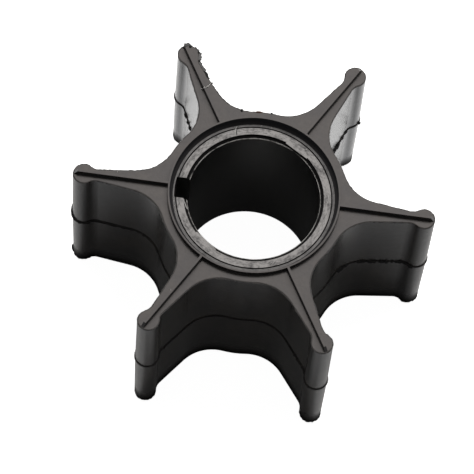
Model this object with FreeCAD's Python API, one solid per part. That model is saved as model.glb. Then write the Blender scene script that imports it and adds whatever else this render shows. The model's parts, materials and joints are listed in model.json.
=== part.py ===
"""Rubber pump impeller: a moulded six-vane rubber body bonded round a hard keyed hub insert.

Row frame in millimetres: Z is the shaft axis, z = 0 is the crown of the lower sealing ridges,
and the vane in line with the keyway points along -X.
"""
import FreeCAD, Part
import math
import os

V = FreeCAD.Vector
AXIS = V(0, 0, 1)
ORIGIN = V(0, 0, 0)

# Hub insert
bore_radius = 11.85
insert_wall = 2.60         # from the bore to the insert's outside
insert_recess = 0.50       # insert's end lies this far below the rubber end face
mouth_step = 0.65          # shallow step round each mouth of the bore
mouth_drop = 0.20          # its straight side, down from the insert's end
mouth_lead = 0.35          # its sloped floor drops by this much on the way to the bore
groove_inset = 0.43        # fine line on the insert's end, in from the insert's outside
groove_width = 0.24
groove_depth = 0.30
key_width = 4.0
key_floor = 0.25           # wall left between the keyway and the insert's outside
land_gap = 0.21            # two straight-edged lands fill the step nearly to the bore
land_half_width = 2.4
land_bite = 0.4            # lands are rooted this deep in the ring before they are joined
land_angles = (58.0, 233.0)

# Rubber star, seen along the shaft
vane_count = 6
tip_radius = 32.5          # shaft axis to vane tip
bead_radius = 1.98         # round bead at each tip
neck_half = 0.88           # half thickness of the flank line carried out to the bead's centre
flank_taper = 7.2          # degrees, each flank thickens towards the hub
neck_fillet = 2.3          # bead into flank
root_fillet = 7.5          # flank into hub
hub_wall = 2.45            # rubber round the insert, seen between the roots

# Rubber star, along the shaft
body_height = 32.8         # between the two end faces
ridge_height = 0.95        # sealing ridges stand this far off each end face
edge_round = 0.22          # moulded edge of the end faces
wall_draft = 0.10          # the walls swell by this much at the parting line
flash_proud = 0.18         # moulded flash along the parting line
flash_thick = 0.20

# Sealing ridges on both end faces
ring_gap = 0.62            # ring ridge's crown, out from the insert's outside
ring_crown_width = 0.30
ring_foot_run = 0.05       # the foot is this much wider than the crown
rib_crown_width = 0.42     # radial ridge on each vane
rib_foot_width = 0.62
rib_crown_gap = 0.90       # the ridge's crown stops this far short of the vane tip
rib_foot_gap = 0.25        # and its foot runs out here
root_bite = 0.40           # ridges are rooted this deep in the rubber before they are joined

# Mouth of the hub, from the ring ridge's crown down to the insert
mouth_lip = 0.45           # the mouth slopes over the insert's edge by this much, out and down

clear = 1.0                # cutting tools run this far past the solid

total_height = body_height + 2 * ridge_height
face_low = ridge_height
face_high = ridge_height + body_height
insert_low = face_low + insert_recess
insert_high = face_high - insert_recess

insert_outer = bore_radius + insert_wall
mouth_radius = bore_radius + mouth_step
mouth_depth = mouth_drop + mouth_lead
groove_outer = insert_outer - groove_inset
groove_inner = groove_outer - groove_width
key_radius = insert_outer - key_floor
land_distance = bore_radius + land_gap

hub_radius = insert_outer + hub_wall
ring_crown_inner = insert_outer + ring_gap
ring_crown_outer = ring_crown_inner + ring_crown_width
ring_foot_outer = ring_crown_outer + ring_foot_run
mouth_lip_radius = insert_outer + mouth_lip


def polar(point, angle):
    """A point of the vane along +X, turned about the shaft by an angle in degrees."""
    turn = math.radians(angle)
    x = point[0] * math.cos(turn) - point[1] * math.sin(turn)
    y = point[0] * math.sin(turn) + point[1] * math.cos(turn)
    return V(x, y, 0)


def fillet(line, circle, radius, side):
    """Points of a fillet, from a circle on the vane's centreline over its middle to the flank line.

    The line is its normal, its direction towards the shaft and its offset; the circle is its
    distance along the vane and its radius; side is 1 for the fillet's place towards the shaft, or
    -1 for the one towards the tip.
    """
    normal, direction, offset = line
    circle_x, circle_radius = circle
    base = (normal[0] * (offset + radius), normal[1] * (offset + radius))
    from_circle = (base[0] - circle_x, base[1])
    along = from_circle[0] * direction[0] + from_circle[1] * direction[1]
    rest = from_circle[0] ** 2 + from_circle[1] ** 2 - (circle_radius + radius) ** 2
    step = -along + side * math.sqrt(along ** 2 - rest)
    centre = (base[0] + direction[0] * step, base[1] + direction[1] * step)
    share = circle_radius / (circle_radius + radius)
    on_circle = (circle_x + (centre[0] - circle_x) * share, centre[1] * share)
    on_line = (centre[0] - normal[0] * radius, centre[1] - normal[1] * radius)
    return on_circle, arc_middle(centre, radius, on_circle, on_line), on_line


def vane_points(grow):
    """Tangent points and arc middles of one side of the vane along +X, outline grown by grow."""
    taper = math.radians(flank_taper)
    bead_x = tip_radius - bead_radius
    normal = (math.sin(taper), math.cos(taper))
    direction = (-math.cos(taper), math.sin(taper))
    offset = normal[0] * bead_x + normal[1] * neck_half + grow
    flank = (normal, direction, offset)
    bead = (bead_x, bead_radius + grow)
    hub = (0, hub_radius + grow)
    bead_neck, neck_middle, neck_flank = fillet(flank, bead, neck_fillet - grow, 1)
    root_hub, root_middle, flank_root = fillet(flank, hub, root_fillet - grow, -1)
    return bead_neck, neck_middle, neck_flank, flank_root, root_middle, root_hub


def arc_middle(centre, radius, start, end):
    """Middle of the short arc between two points of a circle."""
    x = (start[0] + end[0]) / 2 - centre[0]
    y = (start[1] + end[1]) / 2 - centre[1]
    length = math.hypot(x, y)
    return (centre[0] + x * radius / length, centre[1] + y * radius / length)


def turn_all(points, angle):
    """Points of the vane along +X, turned about the shaft."""
    return [polar(point, angle) for point in points]


def outline(grow, height):
    """Closed wire of the whole star at one height, in arcs and straight flanks."""
    side = vane_points(grow)
    pitch = 360 / vane_count
    edges = []
    for number in range(vane_count):
        angle = number * pitch
        bead_neck, neck_middle, neck_flank, flank_root, root_middle, root_hub = turn_all(side, angle)
        mirrored = turn_all([(x, -y) for x, y in side], angle)
        low_bead, low_neck, low_flank, low_root, low_middle, low_hub = mirrored
        next_hub = turn_all([(x, -y) for x, y in side], angle + pitch)[-1]
        edges += [
            Part.Arc(low_hub, low_middle, low_root),
            Part.LineSegment(low_root, low_flank),
            Part.Arc(low_flank, low_neck, low_bead),
            Part.Arc(low_bead, polar((tip_radius + grow, 0), angle), bead_neck),
            Part.Arc(bead_neck, neck_middle, neck_flank),
            Part.LineSegment(neck_flank, flank_root),
            Part.Arc(flank_root, root_middle, root_hub),
            Part.Arc(root_hub, polar((hub_radius + grow, 0), angle + pitch / 2), next_hub),
        ]
    wire = Part.Wire([edge.toShape() for edge in edges])
    wire.translate(V(0, 0, height))
    return wire


def star():
    """Solid star: rounded end-face edges and walls that swell to the parting line."""
    middle = total_height / 2
    soft = edge_round * (1 - math.sin(math.radians(45)))
    levels = (
        (-edge_round, face_low),
        (-soft, face_low + soft),
        (0, face_low + edge_round),
        (wall_draft, middle),
        (0, face_high - edge_round),
        (-soft, face_high - soft),
        (-edge_round, face_high),
    )
    wires = [outline(grow, height) for grow, height in levels]
    return Part.makeLoft(wires, True, True)


def flash():
    """Thin web of flash that stands proud of the walls at the parting line."""
    wire = outline(wall_draft + flash_proud, total_height / 2 - flash_thick / 2)
    return Part.Face(wire).extrude(V(0, 0, flash_thick))


def turned(points):
    """Solid of revolution about the shaft from (radius, height) points."""
    corners = [V(radius, 0, height) for radius, height in points]
    wire = Part.makePolygon(corners + [corners[0]])
    return Part.Face(wire).revolve(ORIGIN, AXIS, 360)


def ring_ridge(face, outward):
    """Circular ridge round the hub mouth on one end face."""
    crown = face + outward * ridge_height
    sunk = face - outward * root_bite
    inner = ring_crown_inner - root_bite
    return turned((
        (inner, sunk),
        (ring_foot_outer, sunk),
        (ring_foot_outer, face),
        (ring_crown_outer, crown),
        (inner, crown),
    ))


def rib_section(end, width, height):
    """Level section of a radial ridge, from inside the ring ridge out to end."""
    start = (ring_crown_inner + ring_crown_outer) / 2
    half = width / 2
    corners = [V(start, -half, height), V(end, -half, height), V(end, half, height), V(start, half, height)]
    return Part.makePolygon(corners + [corners[0]])


def rib_ridge(face, outward, angle):
    """Radial ridge along one vane's centreline on one end face, run out at the vane tip."""
    foot_end = tip_radius - rib_foot_gap
    crown_end = tip_radius - rib_crown_gap
    sections = [
        rib_section(foot_end, rib_foot_width, face - outward * root_bite),
        rib_section(foot_end, rib_foot_width, face),
        rib_section(crown_end, rib_crown_width, face + outward * ridge_height),
    ]
    rib = Part.makeLoft(sections, True, True)
    rib.rotate(ORIGIN, AXIS, angle)
    return rib


def rubber_body():
    """The moulded rubber: star, flash and ridges, hollowed for the insert."""
    pieces = [flash()]
    for face, outward in ((face_low, -1), (face_high, 1)):
        pieces.append(ring_ridge(face, outward))
        for number in range(vane_count):
            pieces.append(rib_ridge(face, outward, number * 360 / vane_count))
    body = star().multiFuse(pieces)
    hollow = turned((
        (0, -clear),
        (ring_crown_inner, -clear),
        (ring_crown_inner, 0),
        (mouth_lip_radius, insert_low - mouth_lip),
        (insert_outer, insert_low),
        (insert_outer, insert_high),
        (mouth_lip_radius, insert_high + mouth_lip),
        (ring_crown_inner, total_height),
        (ring_crown_inner, total_height + clear),
        (0, total_height + clear),
    ))
    return body.cut(hollow).removeSplitter()


def hub_insert():
    """The hard bush: stepped mouths, keyway along -X, two lands and a fine line on each end."""
    half = []
    for end, inward in ((insert_high, -1), (insert_low, 1)):
        side = [
            (insert_outer, end),
            (groove_outer, end),
            (groove_outer, end + inward * groove_depth),
            (groove_inner, end + inward * groove_depth),
            (groove_inner, end),
            (mouth_radius, end),
            (mouth_radius, end + inward * mouth_drop),
            (bore_radius, end + inward * mouth_depth),
        ]
        half.append(side)
    ring = turned(half[0] + half[1][::-1])
    reach = mouth_radius + land_bite - land_distance
    depth = mouth_depth + land_bite
    for low in (insert_low, insert_high - depth):
        for angle in land_angles:
            land = Part.makeBox(reach, 2 * land_half_width, depth, V(land_distance, -land_half_width, low))
            land.rotate(ORIGIN, AXIS, angle)
            ring = ring.fuse(land)
    length = insert_high - insert_low
    low = insert_low - clear
    slot = Part.makeBox(insert_outer, key_width, length + 2 * clear, V(-insert_outer, -key_width / 2, low))
    slot = slot.common(Part.makeCylinder(key_radius, length + 2 * clear, V(0, 0, low)))
    return ring.cut(slot).removeSplitter()


os.makedirs("parts", exist_ok=True)
for name, solid in (("rubber_body", rubber_body()), ("hub_insert", hub_insert())):
    solid.exportStep("parts/" + name + ".step")
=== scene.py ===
"""Looks of a rubber pump impeller: moulded rubber vanes on a hard hub insert, on a pale studio floor.

The frame is in metres, with +Z along the shaft, z = 0 at the crowns of the lower ridges, and the
vane in line with the keyway along -X. Vanes are named by their direction in degrees from +X.
"""

import json
import math
import random

import bmesh
import bpy
from mathutils import Matrix, Vector, noise


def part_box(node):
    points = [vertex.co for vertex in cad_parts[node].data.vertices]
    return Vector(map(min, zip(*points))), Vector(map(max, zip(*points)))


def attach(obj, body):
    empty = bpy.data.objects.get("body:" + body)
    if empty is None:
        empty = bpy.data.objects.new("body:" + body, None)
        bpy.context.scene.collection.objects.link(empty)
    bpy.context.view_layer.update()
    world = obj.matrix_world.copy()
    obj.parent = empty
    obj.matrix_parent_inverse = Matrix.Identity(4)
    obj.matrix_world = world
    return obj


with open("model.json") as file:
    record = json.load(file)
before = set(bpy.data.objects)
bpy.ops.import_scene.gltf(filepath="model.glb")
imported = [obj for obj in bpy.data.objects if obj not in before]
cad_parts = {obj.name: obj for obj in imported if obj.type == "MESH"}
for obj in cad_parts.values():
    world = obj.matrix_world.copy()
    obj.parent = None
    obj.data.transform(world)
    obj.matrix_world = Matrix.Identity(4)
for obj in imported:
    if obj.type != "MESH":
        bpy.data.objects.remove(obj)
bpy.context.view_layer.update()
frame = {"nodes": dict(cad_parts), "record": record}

bl_info = {
    "name": "Rubber pump impeller",
    "version": (1, 0, 0),
    "blender": (4, 5, 0),
    "location": "View3D > Sidebar > Impeller",
    "description": "Finishes, torn mould flash and studio stage of a six-vane rubber pump impeller",
    "category": "Object",
}

MM = 0.001
RUBBER_LOW, RUBBER_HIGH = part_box("rubber_body")
INSERT_LOW, INSERT_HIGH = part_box("hub_insert")
PARTING_HEIGHT = (RUBBER_LOW.z + RUBBER_HIGH.z) / 2
RIDGE_HEIGHT = 0.95 * MM       # the ridges stand this far off the end faces
BORE_RADIUS = next(m["dims"]["r_mm"] for m in frame["record"]["mounts"] if m["kind"] == "bore") * MM
RIB_GAP = 1.1 * MM             # a rib's crown ends this far short of the vane's reach
RING_GAP = 0.62 * MM           # the hub's mouth ends this far outside the insert
RIM_WIDTH = 0.43 * MM          # plain band outside the fine line on the insert's end
END_FACE_HEIGHT = RUBBER_HIGH.z - RIDGE_HEIGHT
LIP_DEPTH = 0.10 * MM          # the lips stand this far inside the end faces
WEB_CLEAR = 0.3 * MM           # the walls are read this far above the middle of the parting line
VANE_PITCH = 60                # degrees

# sockets of the colour mixing node
MIX_FACTOR = 0
MIX_A = 6
MIX_B = 7
MIX_RESULT = 2


def linear(code):
    """Linear colour of an sRGB hex code such as "4a4846"."""
    channels = [int(code[place:place + 2], 16) / 255 for place in (0, 2, 4)]
    return tuple(c / 12.92 if c <= 0.04045 else ((c + 0.055) / 1.055) ** 2.4 for c in channels)


class RubberSettings(bpy.types.PropertyGroup):
    """Finish of the moulded rubber."""
    colour: bpy.props.FloatVectorProperty(
        name="Rubber colour", description="Black rubber, greyed by bloom",
        subtype="COLOR", default=linear("2c2a29"), min=0, max=1)
    patch_colour: bpy.props.FloatVectorProperty(
        name="Patch colour", description="Slightly browner patches in the rubber",
        subtype="COLOR", default=linear("37332f"), min=0, max=1)
    # painted shade: near-black colour of the painted shade on the rubber, along the parting line, at the
    # ridges' feet, in the hub's mouth and at the walls' lower ends
    painted_shade_colour: bpy.props.FloatVectorProperty(
        name="Line colour", description="Dark line along the mould's parting line",
        subtype="COLOR", default=linear("0c0b0b"), min=0, max=1)
    bloom_tint: bpy.props.FloatVectorProperty(
        name="Bloom tint", description="Faint brown of the sheen that bloom leaves on the end faces",
        subtype="COLOR", default=linear("fff8f6"), min=0, max=1)
    wall_tint: bpy.props.FloatVectorProperty(
        name="Wall tint", description="Weaker, cooler sheen of the walls",
        subtype="COLOR", default=linear("e2e5ee"), min=0, max=1)
    wall_roughness: bpy.props.FloatProperty(
        name="Wall roughness", description="Roughness of the walls, moulded against polished steel",
        default=0.20, min=0, max=1)
    face_roughness: bpy.props.FloatProperty(
        name="End face roughness", description="Roughness of the end faces, moulded on a blasted plate",
        default=0.56, min=0, max=1)
    grain: bpy.props.FloatProperty(
        name="Skin grain", description="Spacing of the fine grain of the moulded skin",
        default=0.32 * MM, unit="LENGTH", precision=5)
    line_height: bpy.props.FloatProperty(
        name="Parting line", description="Height of the dark line along the parting line",
        default=0.28 * MM, unit="LENGTH", precision=5)


class InsertSettings(bpy.types.PropertyGroup):
    """Finish of the hub insert."""
    colour: bpy.props.FloatVectorProperty(
        name="Moulded colour", description="Black moulded walls of the insert",
        subtype="COLOR", default=linear("141313"), min=0, max=1)
    faced_colour: bpy.props.FloatVectorProperty(
        name="Faced colour", description="Grey of the faced ends, where the glass fibres show",
        subtype="COLOR", default=linear("9a9693"), min=0, max=1)
    faced_dark: bpy.props.FloatVectorProperty(
        name="Faced dark patches", description="Darker patches of the faced ends",
        subtype="COLOR", default=linear("3a3736"), min=0, max=1)
    # pale colour of the real chips and raised lines, also used for the painted highlight on the bore's rim
    chip_and_highlight_colour: bpy.props.FloatVectorProperty(
        name="Chip colour", description="Pale chips and raised lines on the faced ends",
        subtype="COLOR", default=linear("a5a29e"), min=0, max=1)
    roughness: bpy.props.FloatProperty(
        name="Faced roughness", description="Roughness of the faced ends",
        default=0.62, min=0, max=1)
    grain: bpy.props.FloatProperty(
        name="Facing grain", description="Spacing of the rough grain on the faced ends",
        default=0.30 * MM, unit="LENGTH", precision=5)


class FlashSettings(bpy.types.PropertyGroup):
    """Torn mould flash."""
    colour: bpy.props.FloatVectorProperty(
        name="Flash colour", description="Thin torn rubber, darker than the skin",
        subtype="COLOR", default=linear("100f0f"), min=0, max=1)
    crumb_colour: bpy.props.FloatVectorProperty(
        name="Crumb colour", description="Torn edges whitened by stretching",
        subtype="COLOR", default=linear("d2cfca"), min=0, max=1)
    burr_colour: bpy.props.FloatVectorProperty(
        name="Burr colour", description="Brown of the thin burr on the far edge",
        subtype="COLOR", default=linear("5e4238"), min=0, max=1)
    lip_colour: bpy.props.FloatVectorProperty(
        name="Lip colour", description="Thin lip on the edges of the end faces, greyed like the skin",
        subtype="COLOR", default=linear("3a3836"), min=0, max=1)
    spacing: bpy.props.FloatProperty(
        name="Tear spacing", description="Distance between the points that shape a torn fin",
        default=0.16 * MM, unit="LENGTH", precision=5)
    thickness: bpy.props.FloatProperty(
        name="Fin thickness", description="Thickness of a fin at its root",
        default=0.30 * MM, unit="LENGTH", precision=5)
    lip_thickness: bpy.props.FloatProperty(
        name="Lip thickness", description="Thickness of the lip on the upper edges",
        default=0.12 * MM, unit="LENGTH", precision=5)
    seed: bpy.props.IntProperty(
        name="Seed", description="Seed of the random tears", default=7, min=0)


class StageSettings(bpy.types.PropertyGroup):
    """Camera, lamps and floor."""
    azimuth: bpy.props.FloatProperty(
        name="Camera azimuth", description="Turn of the camera round the shaft, from -Y to +X",
        default=math.radians(1.6725), subtype="ANGLE")
    elevation: bpy.props.FloatProperty(
        name="Camera elevation", description="Angle of the view above the horizon",
        default=math.radians(65.208), subtype="ANGLE")
    roll: bpy.props.FloatProperty(
        name="Camera roll", description="Turn of the camera about its own line of view",
        default=math.radians(6.107), subtype="ANGLE")
    distance: bpy.props.FloatProperty(
        name="Camera distance", description="From the camera to the point that it looks at",
        default=540.05 * MM, unit="LENGTH")
    lens: bpy.props.FloatProperty(
        name="Lens", description="Focal length", default=232.32, min=1, unit="CAMERA")
    aim: bpy.props.FloatVectorProperty(
        name="Aim", description="Point in the plane of the upper end face that the camera looks at",
        size=2, default=(-1.978 * MM, -8.402 * MM), subtype="XYZ", unit="LENGTH")
    floor_colour: bpy.props.FloatVectorProperty(
        name="Floor colour", description="Pale studio floor", subtype="COLOR",
        default=linear("e6e5e3"), min=0, max=1)
    floor_size: bpy.props.FloatProperty(
        name="Floor size", description="Side of the floor", default=6.0, unit="LENGTH")


def add_node(tree, kind, inputs=None, **settings):
    """Add a shader node, set its properties, and give each input its value or its link."""
    node = tree.nodes.new(kind)
    for name, value in settings.items():
        setattr(node, name, value)
    for socket, value in (inputs or {}).items():
        if isinstance(value, bpy.types.NodeSocket):
            tree.links.new(value, node.inputs[socket])
        else:
            node.inputs[socket].default_value = value
    return node


def new_material(name):
    """Node material with nothing in it but its output."""
    material = bpy.data.materials.new(name)
    material.use_nodes = True
    material.node_tree.nodes.clear()
    return material, material.node_tree, material.node_tree.nodes.new("ShaderNodeOutputMaterial")


def opaque(colour):
    """Colour with full alpha, as shader sockets take it."""
    return (*colour, 1.0)


def off_axis(tree, place):
    """Distance of the shaded point from the shaft's axis."""
    level_place = add_node(tree, "ShaderNodeVectorMath", {0: place, 1: (1, 1, 0)}, operation="MULTIPLY")
    radius = add_node(tree, "ShaderNodeVectorMath", {
        0: level_place.outputs["Vector"]}, operation="LENGTH")
    return radius.outputs["Value"]


def off_height(tree, height, middle):
    """Distance of the shaded point above or below a middle height."""
    above = add_node(tree, "ShaderNodeMath", {0: height, 1: middle}, operation="SUBTRACT")
    either_way = add_node(tree, "ShaderNodeMath", {0: above.outputs["Value"]}, operation="ABSOLUTE")
    return either_way.outputs["Value"]


def levelness(tree, kind):
    """How level the surface is, by one kind of normal: 0 on a wall, 1 on an end face."""
    facing = add_node(tree, "ShaderNodeNewGeometry")
    normal = add_node(tree, "ShaderNodeSeparateXYZ", {"Vector": facing.outputs[kind]})
    level = add_node(tree, "ShaderNodeMath", {0: normal.outputs["Z"]}, operation="ABSOLUTE")
    return level.outputs["Value"]


def moulded_rubber(settings):
    """Nitrile rubber, compression moulded: a matte black skin greyed by bloom, with fine even grain and
    faint up-and-down streaks from the mould's walls; painted shade darkens the broken parting line, the
    ridges' feet, the hub's mouth, the walls' lower ends, and the walls against the end faces."""
    material, tree, output = new_material("moulded_nitrile_rubber")
    place = add_node(tree, "ShaderNodeTexCoord").outputs["Object"]

    # browner patches, some 5 mm across, and mottling of 0.8 mm
    patches = add_node(tree, "ShaderNodeTexNoise", {
        "Scale": 1 / (5.5 * MM), "Detail": 4.0, "Roughness": 0.6, "Vector": place})
    patch_share = add_node(tree, "ShaderNodeMapRange", {
        "From Min": 0.38, "From Max": 0.64, "Value": patches.outputs["Fac"]})
    patched = add_node(tree, "ShaderNodeMix", {
        MIX_FACTOR: patch_share.outputs["Result"], MIX_A: opaque(settings.colour),
        MIX_B: opaque(settings.patch_colour)}, data_type="RGBA")
    mottle = add_node(tree, "ShaderNodeTexNoise", {
        "Scale": 1 / (0.8 * MM), "Detail": 3.0, "Roughness": 0.55, "Vector": place})
    mottle_gain = add_node(tree, "ShaderNodeMapRange", {
        "From Min": 0.25, "From Max": 0.75, "To Min": 0.80, "To Max": 1.20,
        "Value": mottle.outputs["Fac"]})

    # streaks down the walls: the mould was finished by strokes along its depth
    stretched = add_node(tree, "ShaderNodeMapping", {
        "Scale": (1 / (1.4 * MM), 1 / (1.4 * MM), 1 / (30 * MM)), "Vector": place})
    streaks = add_node(tree, "ShaderNodeTexNoise", {
        "Scale": 1.0, "Detail": 2.0, "Vector": stretched.outputs["Vector"]})
    streak_gain = add_node(tree, "ShaderNodeMapRange", {
        "From Min": 0.3, "From Max": 0.7, "To Min": 0.92, "To Max": 1.08,
        "Value": streaks.outputs["Fac"]})
    gain = add_node(tree, "ShaderNodeMath", {
        0: mottle_gain.outputs["Result"], 1: streak_gain.outputs["Result"]}, operation="MULTIPLY")
    skin = add_node(tree, "ShaderNodeVectorMath", {
        "Vector": patched.outputs[MIX_RESULT], "Scale": gain.outputs["Value"]}, operation="SCALE")

    # painted shadow: the dark line along the parting line stands for the shade under the flash; it is
    # broken into dashes where the flash was trimmed close
    height = add_node(tree, "ShaderNodeSeparateXYZ", {"Vector": place})
    off_line = off_height(tree, height.outputs["Z"], PARTING_HEIGHT)
    band = add_node(tree, "ShaderNodeMapRange", {
        "From Min": settings.line_height * 0.5, "From Max": settings.line_height * 0.6,
        "To Min": 1.0, "To Max": 0.0, "Value": off_line})
    dashes = add_node(tree, "ShaderNodeTexNoise", {
        "Scale": 1 / (1.6 * MM), "Detail": 1.0, "Vector": place})
    dash_share = add_node(tree, "ShaderNodeMapRange", {
        "From Min": 0.38, "From Max": 0.46, "To Min": 0.1, "To Max": 1.0,
        "Value": dashes.outputs["Fac"]})
    parting_shade_share = add_node(tree, "ShaderNodeMath", {
        0: band.outputs["Result"], 1: dash_share.outputs["Result"]}, operation="MULTIPLY")

    # painted shade: the sides of the ridges near their feet and the hub's mouth are drawn dark and dull
    level = levelness(tree, "True Normal")
    steep = add_node(tree, "ShaderNodeMapRange", {
        "From Min": 0.80, "From Max": 0.97, "To Min": 1.0, "To Max": 0.0, "Value": level})
    end_zone = END_FACE_HEIGHT - PARTING_HEIGHT + 0.02 * MM
    near_end = add_node(tree, "ShaderNodeMapRange", {
        "From Min": end_zone, "From Max": end_zone + 0.05 * MM, "Value": off_line})
    radius = off_axis(tree, place)
    ridge_foot = add_node(tree, "ShaderNodeMapRange", {
        "From Min": end_zone + 0.25 * MM, "From Max": end_zone + 0.35 * MM, "To Min": 1.0, "To Max": 0.0,
        "Value": off_line})
    rib_end = RUBBER_HIGH.x - RIB_GAP
    before_end = add_node(tree, "ShaderNodeMapRange", {
        "From Min": rib_end - 0.1 * MM, "From Max": rib_end, "To Min": 1.0, "To Max": 0.0,
        "Value": radius})
    ridge_length = add_node(tree, "ShaderNodeMath", {
        0: near_end.outputs["Result"], 1: before_end.outputs["Result"]}, operation="MULTIPLY")
    ridge_sides = add_node(tree, "ShaderNodeMath", {
        0: ridge_length.outputs["Value"], 1: ridge_foot.outputs["Result"]}, operation="MULTIPLY")
    mouth = INSERT_HIGH.x + RING_GAP
    in_mouth = add_node(tree, "ShaderNodeMapRange", {
        "From Min": mouth + 0.01 * MM, "From Max": mouth + 0.06 * MM, "To Min": 1.0, "To Max": 0.0,
        "Value": radius})
    ridge_and_mouth_shade = add_node(tree, "ShaderNodeMath", {
        0: ridge_sides.outputs["Value"], 1: in_mouth.outputs["Result"]}, operation="MAXIMUM")

    # painted shade: the walls' lower ends are drawn darker and duller, with their sheen tinted dark
    low_end_shade = add_node(tree, "ShaderNodeMapRange", {
        "From Min": RIDGE_HEIGHT + 0.6 * MM, "From Max": RIDGE_HEIGHT + 4.0 * MM,
        "To Min": 1.0, "To Max": 0.0, "Value": height.outputs["Z"]})
    there = add_node(tree, "ShaderNodeMath", {
        0: ridge_and_mouth_shade.outputs["Value"], 1: low_end_shade.outputs["Result"]}, operation="MAXIMUM")
    # painted shade: share of painted shade on steep surfaces at the ridges' feet, the hub's mouth and the
    # walls' lower ends
    shade_and_stain_mask = add_node(tree, "ShaderNodeMath", {
        0: steep.outputs["Result"], 1: there.outputs["Value"]}, operation="MULTIPLY")
    painted_shade_share = add_node(tree, "ShaderNodeMath", {
        0: parting_shade_share.outputs["Value"], 1: shade_and_stain_mask.outputs["Value"]}, operation="MAXIMUM")
    colour = add_node(tree, "ShaderNodeMix", {
        MIX_FACTOR: painted_shade_share.outputs["Value"], MIX_A: skin.outputs["Vector"],
        MIX_B: opaque(settings.painted_shade_colour)}, data_type="RGBA")

    # grain of the skin, drawn about twice as coarse as the real one so that it shows
    grain = add_node(tree, "ShaderNodeTexNoise", {
        "Scale": 1 / settings.grain, "Detail": 2.0, "Roughness": 0.6, "Vector": place})
    fine_bump = add_node(tree, "ShaderNodeBump", {
        "Strength": 0.6, "Distance": 0.05 * MM, "Height": grain.outputs["Fac"]})
    soft_bump = add_node(tree, "ShaderNodeBump", {
        "Strength": 0.5, "Distance": 0.12 * MM, "Height": patches.outputs["Fac"],
        "Normal": fine_bump.outputs["Normal"]})
    face_share = add_node(tree, "ShaderNodeMapRange", {"From Min": 0.5, "From Max": 0.9, "Value": level})
    skin_rough = add_node(tree, "ShaderNodeMapRange", {
        "To Min": settings.wall_roughness, "To Max": settings.face_roughness,
        "Value": face_share.outputs["Result"]})
    skin_tint = add_node(tree, "ShaderNodeMix", {
        MIX_FACTOR: face_share.outputs["Result"], MIX_A: opaque(settings.wall_tint),
        MIX_B: opaque(settings.bloom_tint)}, data_type="RGBA")
    # painted shade: the sheen is tinted towards the shade colour at the walls' lower ends
    tint = add_node(tree, "ShaderNodeMix", {
        MIX_FACTOR: low_end_shade.outputs["Result"], MIX_A: skin_tint.outputs[MIX_RESULT],
        MIX_B: opaque(settings.painted_shade_colour)}, data_type="RGBA")
    # painted shade: the walls' base colour is drawn a quarter darker than the end faces
    wall_shade_gain = add_node(tree, "ShaderNodeMapRange", {
        "To Min": 0.75, "To Max": 1.0, "Value": face_share.outputs["Result"]})
    wall_shaded_colour = add_node(tree, "ShaderNodeVectorMath", {
        "Vector": colour.outputs[MIX_RESULT], "Scale": wall_shade_gain.outputs["Result"]}, operation="SCALE")
    rough = add_node(tree, "ShaderNodeMapRange", {
        "To Min": skin_rough.outputs["Result"], "To Max": 0.85, "Value": shade_and_stain_mask.outputs["Value"]})
    shader = add_node(tree, "ShaderNodeBsdfPrincipled", {
        "IOR": 1.52, "Base Color": wall_shaded_colour.outputs["Vector"], "Roughness": rough.outputs["Result"],
        "Specular Tint": tint.outputs[MIX_RESULT], "Normal": soft_bump.outputs["Normal"]})
    tree.links.new(shader.outputs["BSDF"], output.inputs["Surface"])
    return material


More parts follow.
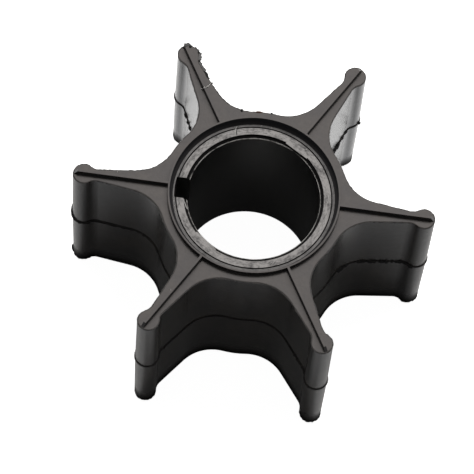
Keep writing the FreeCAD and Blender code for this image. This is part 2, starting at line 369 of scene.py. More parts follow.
def faced_nylon(settings):
    """Glass-filled nylon, moulded black, its ends faced on a lathe: the cut shows torn fibres, so
    it is rough and grey, while the bore and the small steps keep the black moulded skin."""
    material, tree, output = new_material("faced_glass_filled_nylon")
    place = add_node(tree, "ShaderNodeTexCoord").outputs["Object"]
    level_share = add_node(tree, "ShaderNodeMapRange", {
        "From Min": 0.80, "From Max": 0.95, "Value": levelness(tree, "Normal")})

    # only the end itself is faced: the groove near the rim and the step below keep their skin
    height = add_node(tree, "ShaderNodeSeparateXYZ", {"Vector": place})
    outwards = off_height(tree, height.outputs["Z"], (INSERT_LOW.z + INSERT_HIGH.z) / 2)
    end = (INSERT_HIGH.z - INSERT_LOW.z) / 2
    on_end = add_node(tree, "ShaderNodeMapRange", {
        "From Min": end - 0.10 * MM, "From Max": end - 0.05 * MM, "Value": outwards})
    faced = add_node(tree, "ShaderNodeMath", {
        0: level_share.outputs["Result"], 1: on_end.outputs["Result"]}, operation="MULTIPLY")

    # torn fibres, drawn out along the cut, and stains
    radius = off_axis(tree, place)
    turn = add_node(tree, "ShaderNodeMath", {
        0: height.outputs["Y"], 1: height.outputs["X"]}, operation="ARCTAN2")
    along_cut = add_node(tree, "ShaderNodeMath", {
        0: turn.outputs["Value"], 1: INSERT_HIGH.x * 0.4}, operation="MULTIPLY")
    cut_place = add_node(tree, "ShaderNodeCombineXYZ", {"X": radius, "Y": along_cut.outputs["Value"]})
    fibres = add_node(tree, "ShaderNodeTexNoise", {
        "Scale": 1 / settings.grain, "Detail": 3.0, "Roughness": 0.65,
        "Vector": cut_place.outputs["Vector"]})
    stains = add_node(tree, "ShaderNodeTexNoise", {
        "Scale": 1 / (1.3 * MM), "Detail": 3.0, "Vector": cut_place.outputs["Vector"]})
    blend = add_node(tree, "ShaderNodeMath", {
        0: fibres.outputs["Fac"], 1: stains.outputs["Fac"]}, operation="ADD")
    light_share = add_node(tree, "ShaderNodeMapRange", {
        "From Min": 0.72, "From Max": 1.12, "Value": blend.outputs["Value"]})

    # the band outside the fine line is stained by the rubber, and a painted highlight draws the bore's rim
    # pale
    rim = INSERT_HIGH.x - RIM_WIDTH
    unstained = add_node(tree, "ShaderNodeMapRange", {
        "From Min": rim - 0.05 * MM, "From Max": rim, "To Min": 1.0, "To Max": 0.35, "Value": radius})
    shade_and_stain_mask = add_node(tree, "ShaderNodeMath", {
        0: light_share.outputs["Result"], 1: unstained.outputs["Result"]}, operation="MULTIPLY")
    cut_colour = add_node(tree, "ShaderNodeMix", {
        MIX_FACTOR: shade_and_stain_mask.outputs["Value"], MIX_A: opaque(settings.faced_dark),
        MIX_B: opaque(settings.faced_colour)}, data_type="RGBA")
    faced_colour = add_node(tree, "ShaderNodeMix", {
        MIX_FACTOR: faced.outputs["Value"], MIX_A: opaque(settings.colour),
        MIX_B: cut_colour.outputs[MIX_RESULT]}, data_type="RGBA")
    # painted highlight: a pale line on the bore's rim, in the chip colour
    at_bore = add_node(tree, "ShaderNodeMapRange", {
        "From Min": BORE_RADIUS + 0.10 * MM, "From Max": BORE_RADIUS + 0.16 * MM,
        "To Min": 1.0, "To Max": 0.0, "Value": radius})
    at_mouth = add_node(tree, "ShaderNodeMapRange", {
        "From Min": end - 0.70 * MM, "From Max": end - 0.62 * MM, "Value": outwards})
    bore_rim_highlight = add_node(tree, "ShaderNodeMath", {
        0: at_bore.outputs["Result"], 1: at_mouth.outputs["Result"]}, operation="MULTIPLY")
    bore_rim_highlight_share = add_node(tree, "ShaderNodeMath", {
        0: bore_rim_highlight.outputs["Value"], 1: light_share.outputs["Result"]}, operation="MULTIPLY")
    colour = add_node(tree, "ShaderNodeMix", {
        MIX_FACTOR: bore_rim_highlight_share.outputs["Value"], MIX_A: faced_colour.outputs[MIX_RESULT],
        MIX_B: opaque(settings.chip_and_highlight_colour)}, data_type="RGBA")

    # painted shade: the step round the mouth and the fine groove have their sheen tinted black, so they
    # render dull and black
    below_end = add_node(tree, "ShaderNodeMapRange", {
        "From Min": end - 0.15 * MM, "From Max": end - 0.10 * MM, "To Min": 1.0, "To Max": 0.0,
        "Value": outwards})
    step_shade = add_node(tree, "ShaderNodeMath", {
        0: at_mouth.outputs["Result"], 1: below_end.outputs["Result"]}, operation="MULTIPLY")
    sheen = add_node(tree, "ShaderNodeMix", {
        MIX_FACTOR: step_shade.outputs["Value"], MIX_A: opaque((1, 1, 1)), MIX_B: opaque(settings.colour)},
        data_type="RGBA")
    bump = add_node(tree, "ShaderNodeBump", {
        "Distance": 0.14 * MM, "Height": fibres.outputs["Fac"], "Strength": faced.outputs["Value"]})
    rough = add_node(tree, "ShaderNodeMapRange", {
        "To Min": 0.38, "To Max": settings.roughness, "Value": faced.outputs["Value"]})
    shader = add_node(tree, "ShaderNodeBsdfPrincipled", {
        "IOR": 1.53, "Base Color": colour.outputs[MIX_RESULT], "Roughness": rough.outputs["Result"],
        "Specular Tint": sheen.outputs[MIX_RESULT], "Normal": bump.outputs["Normal"]})
    tree.links.new(shader.outputs["BSDF"], output.inputs["Surface"])
    return material


def torn_rubber(name, colour, roughness):
    """Torn rubber: the broken edge of mould flash, uneven in tone and matte all over."""
    material, tree, output = new_material(name)
    place = add_node(tree, "ShaderNodeTexCoord").outputs["Object"]
    tears = add_node(tree, "ShaderNodeTexNoise", {
        "Scale": 1 / (0.3 * MM), "Detail": 3.0, "Vector": place})
    gain = add_node(tree, "ShaderNodeMapRange", {
        "From Min": 0.3, "From Max": 0.7, "To Min": 0.65, "To Max": 1.25, "Value": tears.outputs["Fac"]})
    shade = add_node(tree, "ShaderNodeVectorMath", {
        "Vector": colour, "Scale": gain.outputs["Result"]}, operation="SCALE")
    bump = add_node(tree, "ShaderNodeBump", {
        "Strength": 0.8, "Distance": 0.06 * MM, "Height": tears.outputs["Fac"]})
    shader = add_node(tree, "ShaderNodeBsdfPrincipled", {
        "IOR": 1.52, "Roughness": roughness, "Base Color": shade.outputs["Vector"],
        "Normal": bump.outputs["Normal"]})
    tree.links.new(shader.outputs["BSDF"], output.inputs["Surface"])
    return material


def finish_node(node_name, material):
    """Give a CAD node its material, in every slot it has."""
    for slot in frame["nodes"][node_name].material_slots:
        slot.material = material


def wall_corners(height):
    """Corners of the rubber's outer wall at one height, in order and counterclockwise."""
    mesh = bmesh.new()
    mesh.from_mesh(frame["nodes"]["rubber_body"].data)
    bmesh.ops.remove_doubles(mesh, verts=mesh.verts, dist=0.001 * MM)
    everything = mesh.verts[:] + mesh.edges[:] + mesh.faces[:]
    cut = bmesh.ops.bisect_plane(
        mesh, geom=everything, plane_co=(0, 0, height), plane_no=(0, 0, 1), dist=0.0001 * MM)
    neighbours = {}
    for edge in cut["geom_cut"]:
        if isinstance(edge, bmesh.types.BMEdge):
            first, second = edge.verts
            neighbours.setdefault(first, []).append(second)
            neighbours.setdefault(second, []).append(first)
    start = max(neighbours, key=lambda vert: vert.co.x)
    loop = [start]
    last = None
    while True:
        onward = [vert for vert in neighbours[loop[-1]] if vert is not last]
        last = loop[-1]
        if not onward or onward[0] is start:
            break
        loop.append(onward[0])
    corners = [vert.co.copy() for vert in loop]
    mesh.free()

    turning = sum(a.x * b.y - a.y * b.x for a, b in zip(corners, corners[1:] + corners[:1]))
    if turning < 0:
        corners.reverse()
    return corners


def wall_loop(height, spacing):
    """Evenly spaced points of the rubber's outer wall at one height, with outward directions."""
    corners = wall_corners(height)
    lengths = [(b - a).length for a, b in zip(corners, corners[1:] + corners[:1])]
    count = round(sum(lengths) / spacing)
    step = sum(lengths) / count
    points = []
    side = 0
    passed = 0.0
    for number in range(count):
        target = number * step
        while passed + lengths[side] < target:
            passed += lengths[side]
            side += 1
        ahead = corners[(side + 1) % len(corners)]
        points.append(corners[side].lerp(ahead, (target - passed) / lengths[side]))
    outwards = []
    for number in range(count):
        along = points[(number + 2) % count] - points[number - 2]
        outwards.append(Vector((along.y, -along.x, 0)).normalized())
    return points, outwards


def on_vane(point, angle):
    """A point's distance along a vane's centreline and its distance to the left of it."""
    turn = math.radians(angle)
    along = point.x * math.cos(turn) + point.y * math.sin(turn)
    across = point.y * math.cos(turn) - point.x * math.sin(turn)
    return along, across


def fin_pieces(points, outwards, reaches, thickness, sag, mesh):
    """Add thin torn fins along a wall to a mesh, wherever the reach is more than nothing."""
    count = len(points)
    nothing = 0.03 * MM        # no fin where the reach is less
    root = 0.06 * MM           # fins are rooted this deep in the wall
    edge_share = 0.45          # a fin's edge is thinner than its root
    starts = [n for n in range(count) if reaches[n] > nothing and reaches[n - 1] <= nothing]
    for start in starts:
        number = start
        rings = []
        while reaches[number % count] > nothing and number < start + count:
            here = number % count
            wall = points[here] - outwards[here] * root
            edge = points[here] + outwards[here] * reaches[here] - Vector((0, 0, sag[here]))
            half = Vector((0, 0, thickness[here] / 2))
            rings.append([
                mesh.verts.new(wall + half),
                mesh.verts.new(edge + half * edge_share),
                mesh.verts.new(edge - half * edge_share),
                mesh.verts.new(wall - half),
            ])
            number += 1
        if len(rings) < 2:
            for vert in rings[0]:
                mesh.verts.remove(vert)
            continue
        for ring, following in zip(rings, rings[1:]):
            for corner in range(4):
                onward = (corner + 1) % 4
                mesh.faces.new((ring[corner], following[corner], following[onward], ring[onward]))
        mesh.faces.new(rings[0])
        mesh.faces.new(rings[-1][::-1])


def new_piece(name, mesh, material):
    """Add an object made from a bmesh that rides with the impeller."""
    bmesh.ops.recalc_face_normals(mesh, faces=mesh.faces)
    data = bpy.data.meshes.new(name)
    mesh.to_mesh(data)
    mesh.free()
    piece = bpy.data.objects.new(name, data)
    bpy.context.scene.collection.objects.link(piece)
    piece.data.materials.append(material)
    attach(piece, "root")


# Flash along each vane's parting line: vane, side to the left (1) or right (-1) of its centreline,
# from and to along the vane, reach at both ends, thickness as a share, raggedness; all in mm
FLASH_RUNS = (
    (180, 1, 16.0, 31.3, 0.20, 0.26, 0.8, 0.35),
    (180, -1, 18.0, 31.8, 0.20, 0.25, 0.8, 0.6),
    (0, -1, 16.6, 18.4, 0.50, 0.30, 1.5, 0.3),
    (0, -1, 18.4, 30.3, 0.20, 0.36, 1.1, 0.8),
    (0, 1, 18.0, 31.0, 0.25, 0.30, 1.0, 0.7),
    (60, -1, 22.8, 27.6, 0.44, 0.10, 1.2, 0.9),
    (60, 1, 19.0, 31.0, 0.30, 0.25, 1.0, 0.7),
    (120, 1, 23.4, 28.0, 0.10, 0.12, 1.0, 0.9),
    (120, -1, 19.0, 31.0, 0.30, 0.25, 1.0, 0.7),
    (240, 1, 20.0, 31.4, 0.12, 0.20, 0.8, 0.8),
    (240, -1, 20.0, 31.4, 0.12, 0.20, 1.0, 0.7),
    (300, -1, 20.0, 31.6, 0.12, 0.20, 0.8, 0.8),
    (300, 1, 20.0, 29.2, 0.12, 0.14, 0.9, 0.6),
)

# Thin ragged lip on the upper edge of the walls, given in the same way
LIP_RUNS = (
    (180, 1, 15.0, 32.6, 0.07, 0.05, 1.0, 1.2),
    (180, -1, 15.0, 32.6, 0.04, 0.05, 1.0, 1.4),
    (240, 1, 15.0, 32.6, 0.06, 0.05, 1.0, 1.2),
    (240, -1, 15.0, 32.6, 0.07, 0.05, 1.0, 1.2),
    (300, 1, 15.0, 32.6, 0.07, 0.05, 1.0, 1.2),
    (300, -1, 15.0, 32.6, 0.06, 0.05, 1.0, 1.2),
    (0, -1, 15.0, 32.6, 0.07, 0.05, 1.0, 1.2),
    (0, 1, 15.0, 32.6, 0.03, 0.04, 1.0, 1.3),
    (60, -1, 15.0, 32.6, 0.03, 0.03, 0.7, 1.3),
    (60, 1, 15.0, 32.6, 0.03, 0.04, 1.0, 1.3),
    (120, 1, 15.0, 32.6, 0.04, 0.08, 0.8, 1.4),
    (120, -1, 15.0, 23.0, 0.05, 0.07, 1.0, 1.3),
    (120, -1, 23.0, 32.6, 0.18, 0.30, 1.6, 1.9),
)

# On the lower edge it shows only at the beads
LOW_LIP_RUNS = tuple(
    (vane, side, 29.0, 32.6, 0.04, 0.08, 1.4, 1.2)
    for vane in range(0, 360, VANE_PITCH) for side in (1, -1))


def run_reaches(points, runs, base_thickness, seed):
    """Reach, thickness and sag of the torn rubber at each point of a line round the walls."""
    draw = random.Random(seed)
    slow_wave = 2.0 * MM
    quick_wave = 0.5 * MM
    apart = Vector((3.0, 7.0, 1.0))    # between the two waves, so that they differ
    count = len(points)
    reaches = [0.0] * count
    thickness = [base_thickness] * count
    sag = [0.0] * count
    for vane, side, start, end, reach_start, reach_end, bulk, ragged in runs:
        for number in range(count):
            along, across = on_vane(points[number], vane)
            own_side = 0 < across * side < along / 2
            if not own_side or not start * MM <= along <= end * MM:
                continue
            share = (along / MM - start) / (end - start)
            reach = reach_start + (reach_end - reach_start) * share
            slow = noise.noise(points[number] / slow_wave)
            quick = noise.noise(points[number] / quick_wave + apart)
            torn = 1 + ragged * (1.2 * slow + 1.3 * quick)
            tooth = draw.random() < 0.10 * ragged
            reaches[number] = max(0.0, reach * torn + (0.5 * reach if tooth else 0.0)) * MM
            thickness[number] = base_thickness * bulk * (0.8 + 0.5 * (quick + 0.5))
            sag[number] = 0.3 * base_thickness * bulk * (1 + slow + quick)
    return reaches, thickness, sag


def torn_line(name, runs, wall_height, height, thickness, settings, material):
    """Add one piece of torn rubber for each vane, along a level line round the walls."""
    points, outwards = wall_loop(wall_height, settings.spacing)
    points = [Vector((point.x, point.y, height)) for point in points]
    reaches, thickness, sag = run_reaches(points, runs, thickness, settings.seed)
    for angle in range(0, 360, VANE_PITCH):
        mine = []
        for point, reach in zip(points, reaches):
            turn = math.degrees(math.atan2(point.y, point.x)) - angle
            near = abs((turn + 180) % 360 - 180) < VANE_PITCH / 2
            mine.append(reach if near else 0.0)
        mesh = bmesh.new()
        fin_pieces(points, outwards, mine, thickness, sag, mesh)
        new_piece("%s_vane_%d" % (name, angle), mesh, material)


def strand(mesh, path):
    """Add a bent strand of torn rubber, six-sided, through places with radii, all in mm."""
    sides = 6
    uneven = 0.25              # share of the radius
    places = [Vector(place) * MM for place, radius in path]
    rings = []
    for number, place in enumerate(places):
        ahead = places[min(number + 1, len(path) - 1)]
        behind = places[max(number - 1, 0)]
        along = (ahead - behind).normalized()
        across = along.orthogonal().normalized()
        over = along.cross(across)
        ring = []
        for side in range(sides):
            turn = math.tau * side / sides
            lump = noise.noise(place / (0.2 * MM) + across * side)
            reach = path[number][1] * MM * (1 + uneven * lump)
            out = across * math.cos(turn) + over * math.sin(turn)
            ring.append(mesh.verts.new(place + out * reach))
        rings.append(ring)
    for ring, following in zip(rings, rings[1:]):
        start = min(range(sides), key=lambda shift: (following[shift].co - ring[0].co).length)
        following[:] = following[start:] + following[:start]
        for side in range(sides):
            onward = (side + 1) % sides
            mesh.faces.new((ring[side], following[side], following[onward], ring[onward]))
    mesh.faces.new(rings[0])
    mesh.faces.new(rings[-1][::-1])


def crumb(mesh, place, size):
    """Add a torn crumb, an uneven lump of a size in mm at a place in mm."""
    uneven = 0.7               # share of the size
    centre = Vector(place) * MM
    made = bmesh.ops.create_icosphere(
        mesh, subdivisions=2, radius=size / 2 * MM, matrix=Matrix.Translation(centre))
    for vert in made["verts"]:
        lump = 1 + uneven * noise.noise(vert.co / (0.35 * size * MM))
        vert.co = centre + (vert.co - centre) * lump


def off_vane(along, across, height, vane):
    """Place in mm from a distance along a vane's centreline and one to the left of it."""
    turn = math.radians(vane)
    x = along * math.cos(turn) - across * math.sin(turn)
    y = along * math.sin(turn) + across * math.cos(turn)
    return x, y, height


def vane_path(vane, height, spots):
    """Places and radii of a strand, from spots: along a vane's centreline, left of it, up from a
    height, and the radius."""
    return [(off_vane(along, left, height + up, vane), radius) for along, left, up, radius in spots]


def round_path(height, spots):
    """Places and radii of a strand, from spots: off the shaft's axis, degrees round it, up from a
    height, and the radius."""
    return [(off_vane(off, 0, height + up, angle), radius) for off, angle, up, radius in spots]


class IMPELLER_OT_rubber_body(bpy.types.Operator):
    """Give the rubber body the finish of moulded nitrile rubber"""
    bl_idname = "impeller.rubber_body"
    bl_label = "Rubber body"

    def execute(self, context):
        finish_node("rubber_body", moulded_rubber(context.scene.impeller_rubber))
        return {"FINISHED"}


class IMPELLER_OT_hub_insert(bpy.types.Operator):
    """Give the hub insert the finish of faced glass-filled nylon"""
    bl_idname = "impeller.hub_insert"
    bl_label = "Hub insert"

    def execute(self, context):
        finish_node("hub_insert", faced_nylon(context.scene.impeller_insert))
        return {"FINISHED"}


class IMPELLER_OT_parting_flash(bpy.types.Operator):
    """Add the torn fins of flash along the parting line"""
    bl_idname = "impeller.parting_flash"
    bl_label = "Parting flash"

    def execute(self, context):
        settings = context.scene.impeller_flash
        material = torn_rubber("torn_rubber_flash", settings.colour, 0.85)
        wall_height = PARTING_HEIGHT + WEB_CLEAR
        torn_line("flash", FLASH_RUNS, wall_height, PARTING_HEIGHT, settings.thickness, settings, material)
        return {"FINISHED"}


class IMPELLER_OT_edge_lip(bpy.types.Operator):
    """Add the thin ragged lip on the upper and lower edges of the walls"""
    bl_idname = "impeller.edge_lip"
    bl_label = "Edge lip"

    def execute(self, context):
        settings = context.scene.impeller_flash
        material = torn_rubber("torn_rubber_lip", settings.lip_colour, 0.5)
        upper = END_FACE_HEIGHT - LIP_DEPTH
        lower = RIDGE_HEIGHT + LIP_DEPTH
        torn_line("lip", LIP_RUNS, upper, upper, settings.lip_thickness, settings, material)
        torn_line("low_lip", LOW_LIP_RUNS, lower, lower, settings.lip_thickness, settings, material)
        return {"FINISHED"}


# Strands of torn rubber, in mm; on vane 0 the distances along and to the left are x and y themselves
PARTING = PARTING_HEIGHT / MM
TOP = END_FACE_HEIGHT / MM
INSERT_TOP = INSERT_HIGH.z / MM
DARK_STRANDS = (
    # curl round the outer side of the vane in line with the keyway
    vane_path(180, PARTING, (
        (32.55, -1.1, 1.5, 0.10), (32.75, -0.6, 0.9, 0.13), (32.78, 0.1, 0.35, 0.15),
        (32.55, 0.9, 0.05, 0.20), (32.0, 1.6, 0, 0.26), (31.2, 2.02, -0.05, 0.24),
        (30.5, 2.12, -0.05, 0.12))),
    # burr low on the same bead
    vane_path(180, 0, (
        (32.35, 0.8, 1.3, 0.16), (32.62, 0.35, 1.6, 0.20), (32.66, 0.2, 2.3, 0.17),
        (32.6, 0.1, 3.0, 0.08))),
    # bent end of the flash at the root of the opposite vane
    vane_path(0, PARTING, ((17.4, -3.1, 0, 0.14), (16.9, -3.7, -0.35, 0.17), (16.6, -4.2, -0.95, 0.10))),
    # hair at the opposite vane's bead
    vane_path(0, PARTING, ((30.3, -2.05, 0, 0.12), (31.2, -1.95, 0.15, 0.08), (32.0, -1.5, 0.3, 0.05))),
    # bulge of the lip on the far left vane
    vane_path(0, TOP, (
        (-12.08, 23.50, -0.05, 0.10), (-11.75, 23.27, -0.12, 0.26), (-11.46, 22.88, -0.15, 0.32),
        (-11.27, 22.46, -0.12, 0.24), (-11.02, 22.12, -0.05, 0.08))),
    # lumps of flash on the far vanes
    vane_path(60, PARTING, ((28.4, -1.40, 0, 0.06), (27.9, -1.52, 0, 0.13), (27.2, -1.55, 0, 0.06))),
    vane_path(60, PARTING, ((27.0, -1.58, 0, 0.06), (26.4, -1.74, 0, 0.16), (25.9, -1.72, 0, 0.07))),
    vane_path(60, PARTING, (
        (25.5, -1.77, 0, 0.07), (25.0, -1.92, 0, 0.18), (24.6, -1.97, 0, 0.20), (24.2, -1.93, 0, 0.08))),
    vane_path(60, PARTING, ((24.0, -1.96, 0, 0.09), (23.6, -2.10, 0, 0.22), (23.2, -2.14, 0, 0.12))),
    vane_path(120, PARTING, (
        (27.4, 1.53, 0, 0.06), (27.0, 1.66, 0, 0.15), (26.6, 1.72, 0, 0.18), (26.2, 1.68, 0, 0.07))),
    vane_path(120, PARTING, ((25.7, 1.74, 0, 0.06), (25.3, 1.88, 0, 0.20), (24.9, 1.85, 0, 0.07))),
    vane_path(120, PARTING, ((24.5, 1.90, 0, 0.06), (24.1, 2.02, 0, 0.16), (23.6, 2.01, 0, 0.06))),
)
BROWN_STRANDS = (
    round_path(TOP, (
        (16.74, 96.2, -0.04, 0.08), (16.76, 95.0, 0, 0.18), (16.76, 93.2, 0, 0.17),
        (16.74, 91.4, -0.04, 0.07))),
)
PALE_STRANDS = (
    # hair across the rib of the far left vane
    vane_path(0, TOP, (
        (-12.15, 19.86, 0.02, 0.04), (-11.86, 19.74, 0.25, 0.06), (-11.62, 19.62, 0.93, 0.06),
        (-11.42, 19.85, 0.94, 0.06), (-11.18, 20.20, 0.25, 0.07), (-10.86, 20.57, 0.03, 0.06),
        (-10.55, 21.13, 0.02, 0.04))),
)

# Crumbs in mm: direction in degrees, distances along and to the left of it, height and size
DARK_CRUMBS = (
    (60, 30.9, -2.20, PARTING, 0.60),
    (104.4, 17.15, 0, TOP + 0.05, 0.50),
    (86.0, 16.85, 0, TOP, 0.34),
    (120, 31.9, -0.9, TOP + 0.05, 0.45),
    (120, 32.2, 0.3, TOP + 0.05, 0.40),
    (120, 30.2, -1.9, TOP, 0.42),
    (120, 28.6, -1.3, TOP, 0.34),
)
PALE_CRUMBS = (
    (0, -12.13, -20.21, TOP, 0.26),
    (0, -24.6, 1.1, TOP, 0.16),
)

# Marks on the insert's end, given in the same ways: pale raised lines, a dark strand of painted shadow
# beside the weld line, and chips
PALE_MARKS = (
    # weld line
    round_path(INSERT_TOP, (
        (14.30, 109.3, 0, 0.06), (13.9, 110.6, 0, 0.09), (13.4, 111.6, 0, 0.11), (12.9, 112.1, 0, 0.10),
        (12.56, 112.3, 0, 0.05))),
    # scratch
    round_path(INSERT_TOP, (
        (13.74, 288.4, 0, 0.04), (13.4, 291.0, 0, 0.06), (12.9, 294.2, 0, 0.05), (12.54, 296.8, 0, 0.04))),
    # torn rim of the step
    round_path(INSERT_TOP - 0.12, (
        (12.52, 190.2, 0, 0.10), (12.42, 192.4, 0, 0.13), (12.28, 194.6, 0, 0.09), (12.22, 196.8, 0, 0.12),
        (12.08, 199.4, 0, 0.06))),
)
# painted shadow: a dark strand beside the weld line, where the line's shade falls
WELD_SHADOW = round_path(INSERT_TOP, (
    (14.30, 108.2, 0, 0.05), (13.9, 109.5, 0, 0.08), (13.4, 110.5, 0, 0.09), (12.9, 111.0, 0, 0.08),
    (12.56, 111.2, 0, 0.05)))
CHIPS = tuple((angle, off, 0, INSERT_TOP, size) for off, angle, size in (
    (13.40, 52.7, 0.30), (14.24, 84.0, 0.20), (14.26, 91.5, 0.24), (14.24, 188.0, 0.22),
    (14.26, 191.5, 0.26), (14.23, 195.5, 0.20), (14.25, 199.0, 0.18)))


def torn_piece(name, strands, crumbs, material):
    """Add one piece that is made of strands and crumbs."""
    mesh = bmesh.new()
    for path in strands:
        strand(mesh, path)
    for direction, along, across, height, size in crumbs:
        crumb(mesh, off_vane(along, across, height, direction), size)
    new_piece(name, mesh, material)


class IMPELLER_OT_torn_bits(bpy.types.Operator):
    """Add the strands and crumbs of torn rubber that cling to the walls and edges"""
    bl_idname = "impeller.torn_bits"
    bl_label = "Torn bits"

    def execute(self, context):
        settings = context.scene.impeller_flash
        groups = (
            ("dark_bits", settings.colour, DARK_STRANDS, DARK_CRUMBS),
            ("brown_burr", settings.burr_colour, BROWN_STRANDS, ()),
            ("pale_bits", settings.crumb_colour, PALE_STRANDS, PALE_CRUMBS),
        )
        for name, colour, strands, crumbs in groups:
            torn_piece(name, strands, crumbs, torn_rubber("torn_rubber_" + name, colour, 0.85))
        return {"FINISHED"}


class IMPELLER_OT_insert_marks(bpy.types.Operator):
    """Add the weld line with its painted shadow, the scratch and the pale chips on the insert's end"""
    bl_idname = "impeller.insert_marks"
    bl_label = "Insert marks"

    def execute(self, context):
        settings = context.scene.impeller_insert
        chipped = torn_rubber("chipped_nylon", settings.chip_and_highlight_colour, 0.6)
        torn_piece("insert_pale_marks", PALE_MARKS, CHIPS, chipped)
        # painted shadow beside the weld line
        weld_shadow_material = torn_rubber("painted_weld_shadow", settings.colour, 0.6)
        torn_piece("insert_painted_weld_shadow", (WELD_SHADOW,), (), weld_shadow_material)
        return {"FINISHED"}


class IMPELLER_OT_stage(bpy.types.Operator):
    """Set up the floor, the soft studio light and the camera"""
    bl_idname = "impeller.stage"
    bl_label = "Stage"

    def execute(self, context):
        settings = context.scene.impeller_stage
        context.scene.view_settings.view_transform = "Standard"
        studio_floor(settings)
        studio_world(context.scene)
        for lamp in SOFT_BOXES:
            soft_box(*lamp)
        studio_camera(context.scene, settings)
        return {"FINISHED"}


def shown_white(tree, kinds):
    """Strength from the Light Path node: the sum of ray kinds, each with its own weight."""
    rays = add_node(tree, "ShaderNodeLightPath")
    total = None
    for kind, weight in kinds:
        part = add_node(tree, "ShaderNodeMath", {0: rays.outputs[kind], 1: weight}, operation="MULTIPLY")
        if total is None:
            total = part
        else:
            total = add_node(tree, "ShaderNodeMath", {
                0: total.outputs["Value"], 1: part.outputs["Value"]}, operation="ADD")
    return total.outputs["Value"]


def studio_floor(settings):
    """Pale painted floor, lit from behind: the camera sees it white, reflections see its glow grow
    towards the back, and it keeps the shadow."""
    material, tree, output = new_material("pale_studio_floor")
    paint = add_node(tree, "ShaderNodeBsdfDiffuse", {"Color": opaque(settings.floor_colour)})
    place = add_node(tree, "ShaderNodeTexCoord").outputs["Object"]
    depth = add_node(tree, "ShaderNodeSeparateXYZ", {"Vector": place})
    backward = add_node(tree, "ShaderNodeMapRange", {
        "From Min": 14 * MM, "From Max": 24 * MM, "To Min": 0.02, "To Max": 0.74,
        "Value": depth.outputs["Y"]})
    rays = add_node(tree, "ShaderNodeLightPath")
    reflected = add_node(tree, "ShaderNodeMath", {
        0: rays.outputs["Is Glossy Ray"], 1: backward.outputs["Result"]}, operation="MULTIPLY")
    plain = shown_white(tree, (("Is Camera Ray", 0.97), ("Is Transmission Ray", 0.88)))
    strength = add_node(tree, "ShaderNodeMath", {
        0: reflected.outputs["Value"], 1: plain}, operation="ADD")
    glow = add_node(tree, "ShaderNodeEmission", {"Strength": strength.outputs["Value"]})
    both = add_node(tree, "ShaderNodeAddShader", {0: paint.outputs["BSDF"], 1: glow.outputs["Emission"]})
    tree.links.new(both.outputs["Shader"], output.inputs["Surface"])

    half = settings.floor_size / 2
    data = bpy.data.meshes.new("studio_floor")
    corners = [(-half, -half, 0), (half, -half, 0), (half, half, 0), (-half, half, 0)]
    data.from_pydata(corners, [], [(0, 1, 2, 3)])
    floor = bpy.data.objects.new("studio_floor", data)
    floor.data.materials.append(material)
    bpy.context.scene.collection.objects.link(floor)


def studio_world(scene):
    """Soft surroundings: white to the camera, grey to reflections, a dim even fill otherwise."""
    world = bpy.data.worlds.new("soft_studio")
    world.use_nodes = True
    tree = world.node_tree
    tree.nodes.clear()
    fill = 0.06
    strength = shown_white(
        tree, (("Is Camera Ray", 1 - fill), ("Is Glossy Ray", 0.3), ("Is Transmission Ray", 1 - fill)))
    total = add_node(tree, "ShaderNodeMath", {0: strength, 1: fill}, operation="ADD")
    back = add_node(tree, "ShaderNodeBackground", {
        "Color": (1, 1, 1, 1), "Strength": total.outputs["Value"]})
    output = tree.nodes.new("ShaderNodeOutputWorld")
    tree.links.new(back.outputs["Background"], output.inputs["Surface"])
    scene.world = world


# Soft boxes: name, azimuth and elevation as the camera's are given, distance, side, power in watts
SOFT_BOXES = (
    ("key_box", 180, 64, 1.20, 0.36, 8.2),
    ("left_box", 214, 50, 1.15, 0.50, 2.2),
    ("right_box", 138, 48, 1.15, 0.50, 3.6),
)


def direction_to(azimuth, elevation):
    """Unit vector from the part towards an azimuth (0 is -Y, 90 is +X) and elevation, in degrees."""
    turn = math.radians(azimuth)
    rise = math.radians(elevation)
    return Vector((math.sin(turn) * math.cos(rise), -math.cos(turn) * math.cos(rise), math.sin(rise)))


def soft_box(name, azimuth, elevation, distance, side, power):
    """Square area lamp that faces the part."""
    data = bpy.data.lights.new(name, "AREA")
    data.size = side
    data.energy = power
    lamp = bpy.data.objects.new(name, data)
    out = direction_to(azimuth, elevation)
    lamp.location = out * distance
    lamp.rotation_euler = out.to_track_quat("Z", "Y").to_euler()
    lamp.visible_camera = False
    bpy.context.scene.collection.objects.link(lamp)


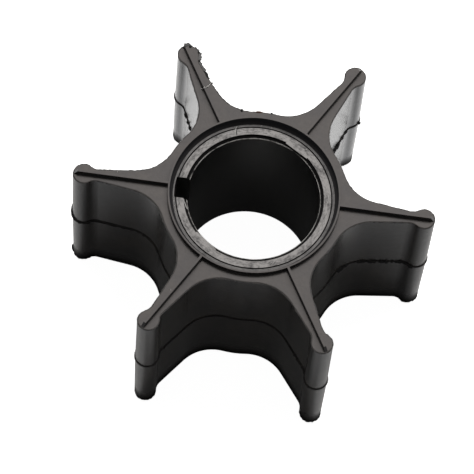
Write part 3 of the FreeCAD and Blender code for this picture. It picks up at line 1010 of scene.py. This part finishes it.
def studio_camera(scene, settings):
    """Camera at the photograph's viewing angle, aimed at a point of the upper end face."""
    data = bpy.data.cameras.new("studio_camera")
    data.sensor_width = 36
    data.lens = settings.lens
    camera = bpy.data.objects.new("studio_camera", data)
    back = direction_to(math.degrees(settings.azimuth), math.degrees(settings.elevation))
    level = Vector((math.cos(settings.azimuth), math.sin(settings.azimuth), 0))
    rise = back.cross(level)
    right = level * math.cos(settings.roll) + rise * math.sin(settings.roll)
    up = rise * math.cos(settings.roll) - level * math.sin(settings.roll)
    aim = Vector((settings.aim[0], settings.aim[1], END_FACE_HEIGHT))
    turn = Matrix((right, up, back)).transposed().to_4x4()
    camera.matrix_world = Matrix.Translation(aim + back * settings.distance) @ turn
    scene.collection.objects.link(camera)
    scene.camera = camera


class IMPELLER_PT_panel(bpy.types.Panel):
    """Lists the impeller's settings, with buttons for the steps that finish it and add its pieces"""
    bl_idname = "IMPELLER_PT_panel"
    bl_label = "Rubber pump impeller"
    bl_space_type = "VIEW_3D"
    bl_region_type = "UI"
    bl_category = "Impeller"

    def draw(self, context):
        for title, group, operators in PANEL_ROWS:
            box = self.layout.box()
            box.label(text=title)
            settings = getattr(context.scene, group)
            for name in settings.__annotations__:
                box.prop(settings, name)
            for operator in operators:
                box.operator(operator.bl_idname)


GROUPS = {
    "impeller_rubber": RubberSettings,
    "impeller_insert": InsertSettings,
    "impeller_flash": FlashSettings,
    "impeller_stage": StageSettings,
}

PANEL_ROWS = (
    ("Rubber", "impeller_rubber", (IMPELLER_OT_rubber_body,)),
    ("Hub insert", "impeller_insert", (IMPELLER_OT_hub_insert, IMPELLER_OT_insert_marks)),
    ("Torn rubber", "impeller_flash",
     (IMPELLER_OT_parting_flash, IMPELLER_OT_edge_lip, IMPELLER_OT_torn_bits)),
    ("Stage", "impeller_stage", (IMPELLER_OT_stage,)),
)

OPERATORS = tuple(operator for title, group, operators in PANEL_ROWS for operator in operators)
CLASSES = (*GROUPS.values(), *OPERATORS, IMPELLER_PT_panel)


def register():
    for kind in CLASSES:
        bpy.utils.register_class(kind)
    for name, group in GROUPS.items():
        setattr(bpy.types.Scene, name, bpy.props.PointerProperty(type=group))


def unregister():
    for name in GROUPS:
        delattr(bpy.types.Scene, name)
    for kind in reversed(CLASSES):
        bpy.utils.unregister_class(kind)


def main():
    register()
    bpy.ops.impeller.rubber_body()
    bpy.ops.impeller.hub_insert()
    bpy.ops.impeller.parting_flash()
    bpy.ops.impeller.edge_lip()
    bpy.ops.impeller.torn_bits()
    bpy.ops.impeller.insert_marks()
    bpy.ops.impeller.stage()


if __name__ == "__main__":
    main()
